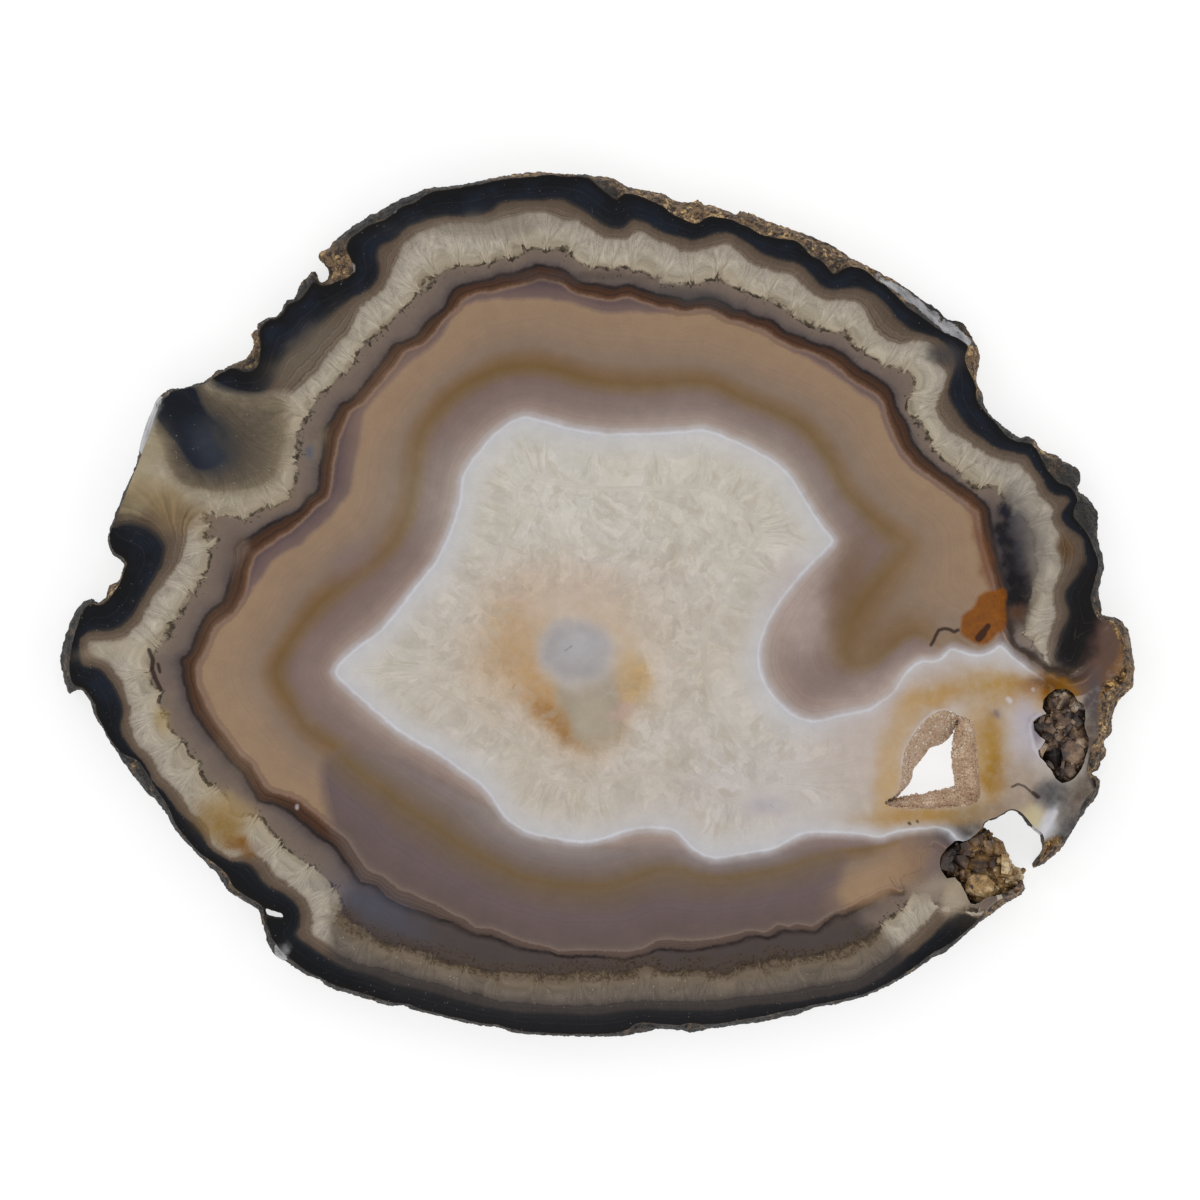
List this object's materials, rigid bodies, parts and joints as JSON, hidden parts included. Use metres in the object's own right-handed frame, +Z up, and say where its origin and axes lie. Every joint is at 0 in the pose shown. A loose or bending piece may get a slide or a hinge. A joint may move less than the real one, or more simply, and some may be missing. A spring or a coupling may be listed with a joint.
{
  "type": "agate slice",
  "caption": "Thin sawn slice of banded agate with polished faces, a rough natural rind, a crystal-lined cavity right through it and smaller crystal hollows.",
  "frame": {"origin": "centre of the bounding box on the lower sawn face, which lies on the surface below", "axes": "+X along the slice's longest extent, +Y across it, +Z up out of the polished face that the picture shows"},
  "size_m": [0.15, 0.1206, 0.006],
  "materials": {
    "banded_agate": "polished face, rough natural rind",
    "cavity_druse": "small glassy quartz crystals, ochre stained",
    "brown_quartz": "glassy brown crystals",
    "pit_crust": "dark lumpy crystal crust"
  },
  "bodies": {
    "root": {"agate_slice": "banded_agate", "cavity_crystals": "cavity_druse", "brown_crystals": "brown_quartz", "pit_crystals": "pit_crust"}
  },
  "joints": []
}
